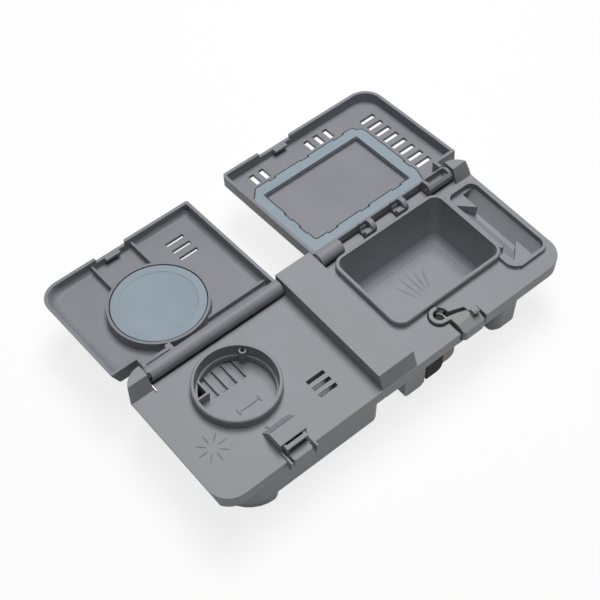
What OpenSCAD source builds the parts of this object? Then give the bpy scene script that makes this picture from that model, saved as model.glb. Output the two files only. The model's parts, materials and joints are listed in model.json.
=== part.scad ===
// Detergent dispenser of a dishwasher door, lying on its back with both lids folded open.
// X runs along the latch edge, Y from the latch edge to the hinge edge, Z out of the front face.
// The origin is the centre of the flange's seat on the door panel.

/* [Front] */
// Length of the front, along the latch edge
body_w = 241; // [236:1:250]
// Width of the front, from the latch edge to the hinge edge
body_d = 88; // [87:0.5:92]
// Radius of the front's corners
corner_r = 13; // [10:0.5:14]
// Height of the face above the flange's seat
flange_h = 8.5; // [8:0.25:10]
// Wall of the moulded parts
wall = 2; // [1.6:0.1:2.4]
// Lean of the side walls, from the face down to the seat
side_slant = 1.9; // [0.5:0.1:2.2]

/* [Ridge and ears] */
// Width of the rinse side, from the left edge to the ridge
ridge_x = 104.3; // [102:0.5:108]
// Width of the ridge
ridge_w = 24; // [20:0.5:28]
// Height of the ridge and ears above the face
ridge_h = 9.2; // [8.5:0.1:10]
// Slope of the ears' front, as a run in Y
ear_slope = 4.4; // [2:0.2:5]
// Width of the left ear
ear_left_w = 13.7; // [12:0.1:15]
// Width of the right ear
ear_right_w = 11.5; // [10.5:0.1:12.5]

/* [Hinges] */
// Distance of the hinge line from the hinge edge
hinge_in = 4; // [3.6:0.1:4.6]
// Height of the hinge line above the face
hinge_z = 3.2; // [3:0.1:3.6]
// Radius of the lids' hinge barrels
barrel_r = 4.4; // [4:0.1:4.6]
// Radius of the hinge pins
pin_r = 1.5; // [1.2:0.1:1.8]
// Angle by which the open lids hang below the face
droop = 5; // [3:0.5:6]

/* [Lids] */
// Height of a lid, from its rim to its outer face
lid_h = 9; // [8.5:0.1:10]
// Gap between a closed lid's rim and the face
lid_gap = 0.3; // [0.2:0.05:0.6]
// Rounding of a lid's outer edge
lid_edge = 1.8; // [1:0.1:2.2]
// Depth of the low stretch of a lid's front wall, over the latch
notch_d = 2.5; // [2:0.1:3]
// Distance of the shut rinse lid's front edge behind the latch edge
rinse_inset = 0.8; // [0:0.1:1.4]
// Overhang of the shut detergent lid past the latch edge
deterg_front = 1.6; // [1:0.1:2]
// Overhang of the detergent lid past the right edge
deterg_over = 1.8; // [0:0.1:2.5]

/* [Filler well] */
// Place of the well along X, from the left edge
well_x = 47.6; // [46:0.2:50]
// Gap between the filler ring and the trough under the hinges
ring_back = 5.2; // [4:0.2:6]
// Outer radius of the filler ring
ring_r = 24; // [22:0.2:24.6]
// Wall of the filler ring
ring_t = 1.8; // [1.5:0.1:2.2]
// Depth of the well's floor below the face
well_d = 6.5; // [5:0.25:9]

/* [Detergent cup] */
// Gap between the ridge and the cup's wall
cup_gap = 6.7; // [6:0.1:8]
// Distance of the cup's rim from the right edge
cup_right = 26.4; // [25:0.2:28]
// Gap between the cup's rim and the trough under the hinges
cup_back = 0.6; // [0.4:0.1:1.4]
// Distance of the cup's rim from the latch edge
cup_y = 22; // [21.6:0.1:22.4]
// Depth of the cup's floor below the face
cup_depth = 26; // [20:0.5:30]
// Radius of the cup's corners
cup_r = 7.5; // [6:0.25:9]

/* [Seals] */
// Floor of the rinse seal
seal_t = 1; // [0.8:0.1:1.4]
// Radius of the rinse seal
seal_r = 26.8; // [26.4:0.1:27.4]
// Height of the detergent seal's face above the lid's floor
frame_h = 3; // [2.6:0.1:3.4]
// Thickness of the detergent seal
gasket_t = 1.4; // [1.2:0.1:1.8]
// Width of the detergent seal's band
gasket_b = 7.6; // [7:0.1:8.4]

/* [Back] */
// Depth of the tank below the face
tank_d = 29; // [25:0.5:30]
// Depth of the feet of the back below the face
base_d = 38; // [36:0.5:42]
// Level below the face at which the tank's two halves are welded
weld_z = 20; // [17:0.5:22]
// Distance of the mounting holes from the edges
screw_in = 7; // [6.8:0.1:7.6]
// Radius of the pilot holes for the mounting screws
pilot_r = 1.4; // [1.2:0.1:1.6]

/* [Hidden] */
$fn = 64;

grey = [0.61, 0.62, 0.63];
lid_grey = [0.55, 0.56, 0.57];
seal_blue = [0.62, 0.69, 0.73];
steel = [0.78, 0.78, 0.77];
black = [0.07, 0.07, 0.07];
white = [0.86, 0.86, 0.84];
pad_grey = [0.58, 0.6, 0.6];
copper = [0.36, 0.25, 0.17];

seam = 0.3;                         // clearance round parts that are set in by hand
run_fit = 0.05;                     // radial clearance of a pin in a part that turns on it
press_fit = 0.02;                   // radial clearance of a pin in the part that holds it

hinge_y = body_d - hinge_in;
trough_y = hinge_y - barrel_r - 0.4;
trough_floor = -flange_h + wall + 0.2;
ridge_x1 = ridge_x + ridge_w;
ear_x1 = body_w - ear_right_w;
rim_w = hinge_z - lid_gap;          // a lid's rim, measured from the hinge line
back_w = rim_w - lid_h;             // a lid's outer face
floor_w = back_w + wall;            // a lid's inner floor
shut_floor = hinge_z - floor_w;     // the inner floor of a shut lid, above the face

seal_clear = 0.2;                   // gap between a shut lid's seal and the rim that it covers
ring_h = shut_floor - seal_t - seal_clear;
well_y = trough_y - ring_back - ring_r;
ledge_z = -1.5;
ledge_t = 1.6;
seal_rim_w = rim_w - 0.7;
well_in_r = ring_r - ring_t - ledge_t;
bracket_x = well_x - 14;
bracket_y = well_y + 6.6;
bracket_z = 0.2;
vent_x = well_x + 15;
vent_y = well_y + 14.4;
vent_r = 2.1;
vent_top = 3.8;

cup_x = ridge_x1 + cup_gap;
cup_x1 = body_w - cup_right;
cup_y1 = trough_y - cup_back;
cup_w = cup_x1 - cup_x;
cup_rim_h = shut_floor - frame_h - seal_clear;
cup_draft = 3.4;
cup_far_draft = 6.6;
cup_corners = [cup_r, cup_r, cup_r, cup_r];

pocket_x = cup_x1 + 2.2;
pocket_x1 = body_w - 4.6;
pocket_mid = pocket_x + 11;         // the pocket's deepest line
pocket_y = 12;
pocket_y1 = cup_y1 - 7.2;
pocket_depth = 9;
pocket_step = 1.5;                  // depth of the pocket's end blocks
pocket_rim = 2.4;
pocket_rim_t = 1.8;
pocket_left = 5.2;                  // how far the pocket's front end runs to the left, round the cup
pocket_flat = 1.4;                  // half width of the pocket's bottom

rinse_x0 = 0.2;
rinse_x1 = ridge_x - 0.8;
rinse_reach = hinge_y - rinse_inset;
rinse_seal_u = hinge_y - well_y;
rinse_corners = [0, 0, 1.5, corner_r];
rinse_lean = 4.2;                   // lean of the lid's left wall, from its rim to its outer face
rinse_cut_x = ear_left_w + 2.4;
rinse_cut_u = hinge_in + 6;
rinse_barrel_x = ear_left_w + 1.2;
deterg_x0 = ridge_x1 + 2;
deterg_x1 = body_w + deterg_over;
deterg_reach = hinge_y + deterg_front;
deterg_corners = [0, 0, corner_r, 3];
hinge_wall_t = 1.4;
hinge_wall_u = hinge_y - cup_y1 - 0.8 - hinge_wall_t;
hinge_wall_top = rim_w - 0.8;       // low enough to swing clear of the cup's rim
deterg_cut_x = ear_x1 - 0.6;
deterg_cut_u = hinge_in + 4.4;

// The detergent lid's four knuckles: a long one at each end and two hooks spread between them
knuckle_first = [deterg_x0 + 0.7, deterg_x0 + 16.7];
knuckle_last = [cup_x1 - 3.6, ear_x1 - 0.6];
hook_w = 7.5;
hook_gap = (knuckle_last[0] - knuckle_first[1] - 2 * hook_w) / 3;
hook_starts = [knuckle_first[1] + hook_gap, knuckle_last[0] - hook_gap - hook_w];
knuckles = [knuckle_first, [hook_starts[0], hook_starts[0] + hook_w], [hook_starts[1], hook_starts[1] + hook_w],
    knuckle_last];
knuckle_gap = 0.6;

gasket_x0 = cup_x - 1.4;
gasket_x1 = cup_x1 + 4.4;
gasket_u0 = hinge_wall_u + hinge_wall_t + 2 * seam;
gasket_u1 = hinge_y - cup_y + 5.2;

slot_x = well_x + 29.4;
slot_w = 11.6;
slot_t = 2.3;
slot_pitch = 5;
slot_y = 17.8;
latch_mid = well_x + 1.5;
block_w = 17;
block_wall = 1.4;
block_roof = 1;
block_y = 6.1;
block_y1 = 21;
block_h = shut_floor - 0.4;
lip_z = hinge_z - rim_w + notch_d;  // underside of a shut lid's front wall over its latch
lip_t = 1.6;                        // thickness of the lip that a latch holds
catch_z = lip_z + lip_t + 0.2;      // underside of the latches' noses
pad_reach = 2.2;
latch_half = 6.2;
bar_y = 2.8;
bar_d = 2.4;
bar_t = 1.1;
rinse_lip_u = rinse_reach - 4.2;

pivot_x = cup_x + 23;
pivot_y = 15.5;
stud_r = 1.9;
hook_in_r = 3.5;
hook_out_r = 5.6;
pad_x0 = pivot_x + 3;
pad_x1 = pad_x0 + 15;
nose_x = pad_x1 - 4.6;
nose_y = 2.4;
window_gap = 1.6;
deterg_lip_u = deterg_reach - 4.8;
finger_x = pivot_x - 9.8;

tank_x0 = 9.5;
tank_x1 = ridge_x + 0.6;
tank_y0 = 1;
tank_y1 = trough_y - 0.7;
tank_r = 21.5;
sump_x0 = tank_x0 + 2.5;
sump_len = 27;
sump_x1 = sump_x0 + sump_len;

cover_x0 = ridge_x + wall + seam;
cover_y0 = wall + seam;
cover_y1 = cup_y - 1.2;
cover_top = -flange_h - 1;
web_d = 14.5;
dose_x0 = ridge_x1 - 5.3;
dose_x1 = dose_x0 + 15.5;
dose_d = 30.5;
dose_y1 = trough_y - 3.2;
foot_x0 = body_w - 50.5;
foot_len = 19.5;
foot_x1 = foot_x0 + foot_len;
screw_spots = [[cover_x0 + 5.4, dose_y1 - 8], [cover_x0 + 5.4, 10], [foot_x0 - 9.5, 15.6]];
screw_pilot = 1.1;

case_x0 = dose_x1 + 1;
case_x1 = case_x0 + 12;
coil_x1 = case_x1 + 8.5;
case_y0 = 2.8;
case_y1 = 14.5;
case_top = -flange_h - 1.1;
case_d = 29;
coil_d = 25;
plunger_x = case_x0 + 6;
plunger_z = -19.5;
plunger_r = 2;
tongue_y = 17.2;
tongue_t = 1.6;
finger_y = tongue_y + tongue_t / 2;

rinse_pin_x = ear_left_w - wall - 1.4;      // free ends of the hinge pins
deterg_pin_x = ear_x1 + wall + 1.4;
spring_wire = 0.4;
spring_r = pin_r + spring_wire + 0.2;
coil_l = 3.6;
coil_x = ridge_x1 - wall - 0.6 - coil_l;    // start of the detergent lid's spring, inside the ridge

// Places a part that is drawn from the left end of the latch edge, at the face
module on_front() {
    translate([-body_w / 2, -body_d / 2, flange_h]) children();
}

// Places a part that is drawn from the hinge line, with Y towards the lid's far edge
module on_hinge() {
    on_front() translate([0, hinge_y, hinge_z]) rotate([-droop, 0, 0]) children();
}

// A rectangle between two corners, with its own radius at each: front left, front right, far right, far left
module rbox(x0, y0, x1, y1, r) {
    difference() {
        translate([x0, y0]) square([x1 - x0, y1 - y0]);
        corner_cut(x0, y0, 1, 1, r[0]);
        corner_cut(x1, y0, -1, 1, r[1]);
        corner_cut(x1, y1, -1, -1, r[2]);
        corner_cut(x0, y1, 1, -1, r[3]);
    }
}

module corner_cut(x, y, sx, sy, r) {
    if (r > 0) {
        translate([x, y]) scale([sx, sy]) difference() {
            translate([-1, -1]) square(r + 1);
            translate([r, r]) circle(r);
        }
    }
}

// The same box, moved in by t on every side
module rbox_in(x0, y0, x1, y1, r, t) {
    rbox(x0 + t, y0 + t, x1 - t, y1 - t, [for (v = r) max(v - t, 0)]);
}

module layer(z0, z1) {
    translate([0, 0, z0]) linear_extrude(z1 - z0) children();
}

// A bar along X whose section is drawn in Y and Z
module bar_x(x0, x1) {
    translate([x0, 0, 0]) rotate([90, 0, 90]) linear_extrude(x1 - x0) children();
}

module rod_x(x0, x1, y, z, r) {
    translate([x0, y, z]) rotate([0, 90, 0]) cylinder(h = x1 - x0, r = r);
}

module rod_y(y0, y1, x, z, r) {
    translate([x, y0, z]) rotate([-90, 0, 0]) cylinder(h = y1 - y0, r = r);
}

// A round wire wound into a helix along Z, as one closed sweep with a hexagonal section
module helix(r, wire, length, turns) {
    steps = 14;
    sides = 6;
    n = turns * steps;
    points = [for (i = [0:n]) for (j = [0:sides - 1])
        let (a = 360 * i / steps, b = 360 * j / sides, q = r + wire * cos(b))
        [q * cos(a), q * sin(a), length * i / n + wire * sin(b)]];
    skin = [for (i = [0:n - 1]) for (j = [0:sides - 1])
        let (k = (j + 1) % sides)
        [i * sides + j, i * sides + k, (i + 1) * sides + k, (i + 1) * sides + j]];
    caps = [[for (j = [0:sides - 1]) sides - 1 - j], [for (j = [0:sides - 1]) n * sides + j]];
    polyhedron(points, concat(skin, caps), convexity = 8);
}

module face_outline(t = 0) {
    difference() {
        rbox_in(0, 0, body_w, body_d, [corner_r, corner_r, corner_r, corner_r], t);
        translate([ear_left_w - t, trough_y - t]) square([ridge_x - ear_left_w + 2 * t, body_d]);
        translate([ridge_x1 - t, trough_y - t]) square([ear_x1 - ridge_x1 + 2 * t, body_d]);
    }
}

// Side wall, face plate and the strip of flange that runs behind the hinges
module shell() {
    difference() {
        layer(-flange_h, 0) face_outline();
        layer(-flange_h - 1, -wall) intersection() {
            face_outline(wall);
            translate([wall + side_slant, 0]) square([body_w - 2 * wall - 2 * side_slant, body_d]);
        }
    }
    layer(-flange_h, trough_floor) difference() {
        rbox(0, trough_y - wall, body_w, body_d, [0, 0, corner_r, corner_r]);
        translate([ridge_x + wall, 0]) square([ridge_w - 2 * wall, body_d - wall]);
        ear_opening(0, wall);
    }
}

// What leans off the side walls towards the seat
module side_wedges() {
    for (side = [0, 1]) {
        translate([side * body_w, body_d + 1, 0]) mirror([side, 0, 0]) rotate([90, 0, 0]) linear_extrude(body_d + 2)
            polygon([[-1, 0], [0, 0], [side_slant, -flange_h], [side_slant, -flange_h - 1], [-1, -flange_h - 1]]);
    }
}

// Plan of the hollows under both ears
module ear_opening(y0, back_t) {
    x0 = wall + side_slant;
    rbox(x0, y0, ear_left_w - wall, body_d - back_t, [0, 0, 0, corner_r - wall]);
    rbox(ear_x1 + wall, y0, body_w - x0, body_d - back_t, [0, 0, corner_r - wall, 0]);
}

// Tabs of the face between the detergent lid's knuckles
module hinge_tabs() {
    for (i = [0:2]) {
        x0 = knuckles[i][1] + knuckle_gap;
        x1 = knuckles[i + 1][0] - knuckle_gap;
        translate([x0, trough_y - 1, -wall]) cube([x1 - x0, hinge_in + barrel_r - 0.8, wall]);
    }
}

module ridge_section(t) {
    slope = 4.2;
    polygon([[t + 0.4, -1], [t + 0.4, 0], [slope + t, ridge_h - t], [body_d - t, ridge_h - t], [body_d - t, -1]]);
}

module ears() {
    foot = trough_y - 2.7;
    intersection() {
        layer(-1, ridge_h) rbox_in(0, 0, body_w, body_d, [corner_r, corner_r, corner_r, corner_r], 0);
        union() {
            bar_x(0, ear_left_w) ear_section(foot);
            bar_x(ear_x1, body_w) ear_section(foot);
        }
    }
}

module ear_section(foot) {
    polygon([[foot, -1], [foot, 0], [foot + ear_slope, ridge_h], [body_d, ridge_h], [body_d, -1]]);
}

// The hollows under the ears, open at the back
module ear_hollows() {
    ear_wall = 1.4;
    layer(-flange_h - 1, ridge_h - wall) ear_opening(trough_y + ear_wall, ear_wall);
}

// The raised filler ring and the stepped well inside it
module well_wall() {
    translate([well_x, well_y, 0]) rotate_extrude() polygon([
        [0, -well_d - wall], [ring_r - 0.6, -well_d - wall], [ring_r - 0.6, -wall], [ring_r, 0],
        [ring_r, ring_h - 0.6], [ring_r - 0.6, ring_h], [0, ring_h]]);
}

module well_hollow() {
    translate([well_x, well_y, 0]) rotate_extrude() polygon([
        [0, -well_d], [ring_r - ring_t - ledge_t, -well_d], [ring_r - ring_t - ledge_t, ledge_z],
        [ring_r - ring_t - 0.4, ledge_z], [ring_r - ring_t, ring_h], [ring_r - ring_t, ring_h + 1],
        [0, ring_h + 1]]);
}

// The L-shaped wall round the filler hole
module filler_bracket() {
    intersection() {
        translate([well_x, well_y, -well_d - 1]) cylinder(h = 30, r = well_in_r + 0.5);
        layer(-well_d - 1, bracket_z) {
            translate([bracket_x - 8, bracket_y]) square([9.2, 1.2]);
            translate([bracket_x, bracket_y]) square([1.2, 14]);
        }
    }
    translate([vent_x, vent_y, -well_d - 1]) cylinder(h = well_d + 1 + vent_top, r = vent_r);
}

// The hole into the tank behind the bracket
module filler_hole() {
    intersection() {
        translate([well_x, well_y, -well_d - wall - 1]) cylinder(h = 20, r = well_in_r);
        layer(-well_d - wall - 1, 0) translate([bracket_x - 8, bracket_y + 1.2]) square([8, 14]);
    }
}

// Shallow grooves in the well's floor
module well_grooves() {
    for (i = [0:3]) {
        translate([well_x - 11.2 + 6 * i, well_y + 5.6, -well_d - 1.2]) cube([3.2, 14, 2]);
    }
}

module cup_walls() {
    hull() {
        layer(-0.5, cup_rim_h - 0.6) rbox(cup_x, cup_y, cup_x1, cup_y1, cup_corners, $fn = 32);
        layer(cup_rim_h - 0.1, cup_rim_h) rbox_in(cup_x, cup_y, cup_x1, cup_y1, cup_corners, 0.6, $fn = 32);
        layer(-cup_depth - wall, -cup_depth - wall + 0.1) cup_floor(0, $fn = 32);
    }
}

module cup_floor(t) {
    rbox_in(cup_x + cup_draft, cup_y + cup_draft - 0.4, cup_x1 - cup_draft, cup_y1 - cup_far_draft, cup_corners, t);
}

module cup_hollow() {
    hull() {
        layer(cup_rim_h, cup_rim_h + 0.1) rbox_in(cup_x, cup_y, cup_x1, cup_y1, cup_corners, wall, $fn = 32);
        layer(-cup_depth, -cup_depth + 0.1) cup_floor(wall, $fn = 32);
    }
}

// Ribs under the cup that carry it at the back
module cup_ribs() {
    inset = 12;
    rib_y1 = cup_y1 - 2.4;
    for (x = [cup_x + inset, cup_x1 - inset]) {
        bar_x(x - wall / 2, x + wall / 2) polygon([[cup_y + 6, -base_d], [rib_y1, -base_d], [rib_y1, -10],
            [rib_y1 - 8, -10], [cup_y + 6, -cup_depth - 0.5]]);
    }
    bar_x(cup_x + inset, cup_x1 - inset) translate([(cup_y + cup_y1) / 2 - wall, -base_d])
        square([wall, base_d - cup_depth - 0.5]);
}

module pocket_outline(t) {
    rbox(pocket_x - t, pocket_y - t, pocket_x1 + t, pocket_y1 + t, [0, 5 + t, 5 + t, 4]);
    rbox(pocket_x - pocket_left - t, pocket_y - t, pocket_x1 + t, pocket_y + 14, [6 + t, 5 + t, 0, 0]);
}

// The pocket's V, with one floor that slopes from the cup and one from the right rim
module pocket_groove(t) {
    translate([0, pocket_y1 - 2 + t, 0]) rotate([90, 0, 0]) linear_extrude(pocket_y1 - pocket_y - 4 + 2 * t)
        polygon([[pocket_x - t, -pocket_step], [pocket_mid - pocket_flat - t, -pocket_depth - t],
            [pocket_mid + pocket_flat + t, -pocket_depth - t], [pocket_x1 - 0.4 + t, -pocket_step]]);
}

module pocket_walls() {
    layer(-pocket_step - wall, pocket_rim) pocket_outline(pocket_rim_t);
    pocket_groove(wall);
}

module pocket_hollow() {
    layer(-pocket_step, pocket_rim + 1) pocket_outline(0);
    difference() {
        translate([0, 0, 0.01]) pocket_groove(0);
        pocket_blocks();
    }
}

// The three-cornered blocks that fill both ends of the pocket's left floor
module pocket_blocks() {
    layer(-pocket_depth - 1, 1) {
        polygon([[pocket_x - 1, pocket_y1 - 2], [pocket_mid, pocket_y1 - 13.9], [pocket_mid, pocket_y1 + 1],
            [pocket_x - 1, pocket_y1 + 1]]);
        polygon([[pocket_x - 1, pocket_y + 4], [pocket_mid, pocket_y + 14.5], [pocket_mid, pocket_y - 1],
            [pocket_x - 1, pocket_y - 1]]);
    }
}

// The block that houses the rinse latch, with a ramp at its far side
module latch_block() {
    bar_x(latch_mid - block_w / 2, latch_mid + block_w / 2) polygon([
        [block_y, -1], [block_y, block_h], [block_y1 - 6, block_h], [block_y1, 0], [block_y1, -1]]);
}

// The closed box round the rinse latch behind the face, and rails beside its pad
module latch_box() {
    translate([latch_mid - block_w / 2, 0.5, -8.1]) cube([block_w, block_y1 - 3.8, 8]);
    for (side = [-1, 1]) {
        translate([latch_mid + side * (block_w / 2 - 0.2) - 0.6, -3, -6]) cube([1.2, block_y + 4, 7.2]);
    }
}

module latch_block_hollow() {
    translate([latch_mid - block_w / 2 + block_wall, -4, -6.6])
        cube([block_w - 2 * block_wall, block_y1 - 0.9, 6.6 + block_h - block_roof]);
    // a blind slit in the ramp's left half
    translate([latch_mid - 5.6, block_y1 - 1.5, -0.6]) cube([1.4, 3, 2]);
}

window_x1 = pad_x1 + 2.8;
window_slope = [[pad_x0 - 0.4, pivot_y + 0.8], [pad_x1 - 3, pivot_y - 3.6]];  // far edge of the latch's window

module latch_window() {
    translate([pivot_x, pivot_y]) circle(hook_out_r + 0.7);
    polygon([[pivot_x - 1, pivot_y + 5], [window_slope[0][0], window_slope[0][1]], [window_slope[1][0],
        window_slope[1][1]], [window_slope[1][0] + 0.2, 8.2], [window_x1, 8.2], [window_x1, -1],
        [pad_x0 - window_gap, -1], [pad_x0 - window_gap, 9], [pivot_x - 3, pivot_y - 5]]);
}

// The wall that hangs from the window's far edge
module window_wall() {
    a = window_slope[0] + [2, -0.4];
    b = window_slope[1] + [1.2, 0];
    layer(-6, -1) polygon([a, b, b + [0, -3], b + [1.2, -3], b + [1.2, 0.9], a + [0.4, 1.2]]);
}

// The closed pocket behind the three slots
module slot_box(t) {
    edge = 1.6;
    length = 2 * slot_pitch + slot_t + 2 * edge;
    translate([slot_x - edge + t, slot_y - edge + t, -7.6 + t])
        cube([slot_w + 2 * edge - 2 * t, length - 2 * t, t > 0 ? 5.6 : 7]);
}

// Holes through the face: three slots and the detergent latch's window
module face_cuts() {
    for (i = [0:2]) {
        translate([slot_x, slot_y + slot_pitch * i, -wall - 1]) cube([slot_w, slot_t, wall + 2]);
    }
    layer(-7.2, 1) latch_window();
}

module at_screws() {
    for (x = [screw_in, body_w - screw_in]) {
        for (y = [screw_in, body_d - screw_in]) {
            translate([x, y, -flange_h]) children();
        }
    }
}

module tank_outline(t = 0) {
    rbox_in(tank_x0, tank_y0, tank_x1, tank_y1, [tank_r, 6, 6, 12], t);
}

module tank_skirt() {
    layer(-weld_z, -1) difference() {
        tank_outline();
        tank_outline(wall);
    }
}

// The stud on which the detergent latch turns, on a bridge behind the face
module latch_stud() {
    translate([pivot_x - 3, 1, -flange_h - 0.5]) cube([6.5, cup_y + 1, 1.6]);
    translate([pivot_x, pivot_y, -flange_h]) cylinder(h = flange_h - 1.2, r = stud_r);
}

module cover_posts() {
    for (p = screw_spots) {
        translate([p[0], p[1], cover_top]) cylinder(h = (p[0] < ridge_x1 ? ridge_h - 1 : -0.5) - cover_top, r = 3);
    }
    translate([case_x0 + 1.5, case_y0 + 1, case_top]) cube([1.8, 8, -case_top - 1]);
    translate([case_x1 + 2, case_y0 + 1, case_top]) cube([1.8, 6, -case_top - 1]);
}

module front_housing() color(grey) on_front() difference() {
    union() {
        difference() {
            union() {
                shell();
                bar_x(ridge_x, ridge_x1) ridge_section(0);
                ears();
                hinge_tabs();
                well_wall();
                pocket_walls();
                latch_block();
                latch_box();
                slot_box(0);
                tank_skirt();
                window_wall();
            }
            bar_x(ridge_x + wall, ridge_x1 - wall) ridge_section(wall);
            translate([ridge_x + wall, wall, -flange_h - 1]) cube([ridge_w - 2 * wall, body_d - 2 * wall, flange_h + 1]);
            ear_hollows();
            well_hollow();
            pocket_hollow();
            latch_block_hollow();
            slot_box(1.4);
            face_cuts();
            side_wedges();
        }
        cup_walls();
        filler_bracket();
        at_screws() cylinder(h = flange_h - 0.5, r = pilot_r + wall + 0.2);
        cup_ribs();
        latch_stud();
        cover_posts();
    }
    cup_hollow();
    at_screws() translate([0, 0, -1]) cylinder(h = 7, r = pilot_r);
    filler_hole();
    well_grooves();
    translate([vent_x, vent_y, -well_d - wall - 1]) cylinder(h = well_d + wall + vent_top + 2, r = vent_r - 0.9);
    rod_x(rinse_pin_x - 0.2, ridge_x + wall + 1, hinge_y, hinge_z, pin_r + press_fit);
    rod_x(ridge_x1 - wall - 1, deterg_pin_x + 0.2, hinge_y, hinge_z, pin_r + run_fit);
    // room for the detergent lid's spring in the ridge's far wall
    translate([ridge_x1 - wall - 7, body_d - wall - 1, hinge_z - 3]) cube([7, 1.9, 6]);
    for (p = screw_spots) {
        translate([p[0], p[1], cover_top - 1]) cylinder(h = 8, r = screw_pilot);
    }
}

// The back half of the rinse-aid tank, with the sump under its left end
module tank_cover() color(grey) on_front() difference() {
    union() {
        hull() {
            layer(-tank_d + 2.4, -weld_z) tank_outline($fn = 32);
            layer(-tank_d, -tank_d + 0.1) tank_outline(1.6, $fn = 32);
        }
        hull() {
            layer(-base_d + 3, -tank_d + 3) sump_outline(0, $fn = 32);
            layer(-base_d, -base_d + 0.1) sump_outline(2, $fn = 32);
        }
    }
    layer(-tank_d + wall, -weld_z + 1) tank_outline(wall);
    layer(-base_d + wall, -tank_d + wall + 1) sump_outline(wall + 0.2);
}

module sump_outline(t) {
    rbox_in(sump_x0, tank_y0 + 1, sump_x1, tank_y1 - 4, [tank_r, 7, 7, 12], t);
}

// The cover over the drive, with a deep pod under the ridge and a foot under the right half
module rear_cover() color(grey) on_front() difference() {
    union() {
        difference() {
            cover_body(0);
            cover_body(wall);
            translate([case_x0 - 1.6, 0, -dose_d - 1]) cube([coil_x1 - case_x0 + 3.2, cover_y1 - 1.4, dose_d]);
        }
        for (p = screw_spots) {
            translate([p[0], p[1], cover_bottom(p)]) cylinder(h = cover_top - cover_bottom(p), r = 4.4);
        }
    }
    for (p = screw_spots) {
        translate([p[0], p[1], cover_bottom(p) - 1]) cylinder(h = cover_top - wall - cover_bottom(p) + 1, r = 3.1);
        translate([p[0], p[1], cover_top - 3]) cylinder(h = 4, r = 1.5);
    }
}

function cover_bottom(p) = p[1] > cup_y ? -dose_d + 0.2 : -web_d + 0.2;

module cover_body(t) {
    top = t > 0 ? cover_top + 1 : cover_top;
    // the low web along the front edge
    layer(-web_d + t, top) rbox_in(cover_x0, cover_y0, foot_x1 - 3, cover_y1, [4, 0, 0, 0], t);
    // the pod under the ridge and the chamber beside the actuator
    rod_box_y(cover_y1 - 4, dose_y1, cover_x0, ridge_x1 + 4.6, dose_d, top, 5, t);
    rod_box_y(cover_y0, cover_y1, dose_x0, dose_x1, dose_d, top, 4.5, t);
    if (t > 0) translate([dose_x0 + t, cover_y0 + 8, -dose_d + t]) cube([ridge_x1 + 4.6 - dose_x0 - 2 * t, 16, dose_d + top - t]);
    // the foot
    hull() {
        layer(-base_d + 6, top) rbox_in(foot_x0, cover_y0, foot_x1, cover_y1, [7, 5, 5, 5], t, $fn = 32);
        layer(-base_d + t, -base_d + t + 0.1) rbox_in(foot_x0, cover_y0, foot_x1, cover_y1, [7, 5, 5, 5], t + 3.5, $fn = 32);
    }
}

// A trough along Y with two rounded lower edges
module rod_box_y(y0, y1, x0, x1, d, top, r, t) {
    translate([0, y1 - t, 0]) rotate([90, 0, 0]) linear_extrude(y1 - y0 - 2 * t)
        rbox(x0 + t, -d + t, x1 - t, top, [max(r - t, 0), max(r - t, 0), 0, 0]);
}

module cover_screws() color(steel) on_front() for (p = screw_spots) {
    translate([p[0], p[1], cover_top - wall - 1.5]) cylinder(h = 1.5, r = 2.6);
    translate([p[0], p[1], cover_top - wall - 0.5]) cylinder(h = 8, r = screw_pilot - run_fit);
}

// A lid's outside, with its left wall leaning in by lean
module lid_blank(x0, x1, reach, corners, lean) {
    mid = lean * (lid_h - lid_edge) / lid_h;
    hull() {
        layer(lean > 0 ? rim_w - 0.1 : back_w + lid_edge, rim_w) rbox(x0, 0, x1, reach, corners, $fn = 32);
        layer(back_w + lid_edge * 0.3, back_w + lid_edge)
            rbox_in(x0 + mid, 0, x1, reach, corners, lid_edge * 0.3, $fn = 32);
        layer(back_w, back_w + 0.1) rbox_in(x0 + lean - lid_edge * 0.5, 0, x1, reach, corners, lid_edge, $fn = 32);
    }
}

// The tray inside the rinse lid, which leans with its left wall
module rinse_tray() {
    tray_corners = [0, 0, 0.6, corner_r - wall];
    hull() {
        layer(rim_w, rim_w + 1) rbox(rinse_x0 + wall, 0, rinse_x1 - wall, rinse_reach - wall, tray_corners, $fn = 32);
        layer(floor_w, floor_w + 0.1)
            rbox(rinse_x0 + rinse_lean + wall, 0, rinse_x1 - wall, rinse_reach - wall, tray_corners, $fn = 32);
    }
}

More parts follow.
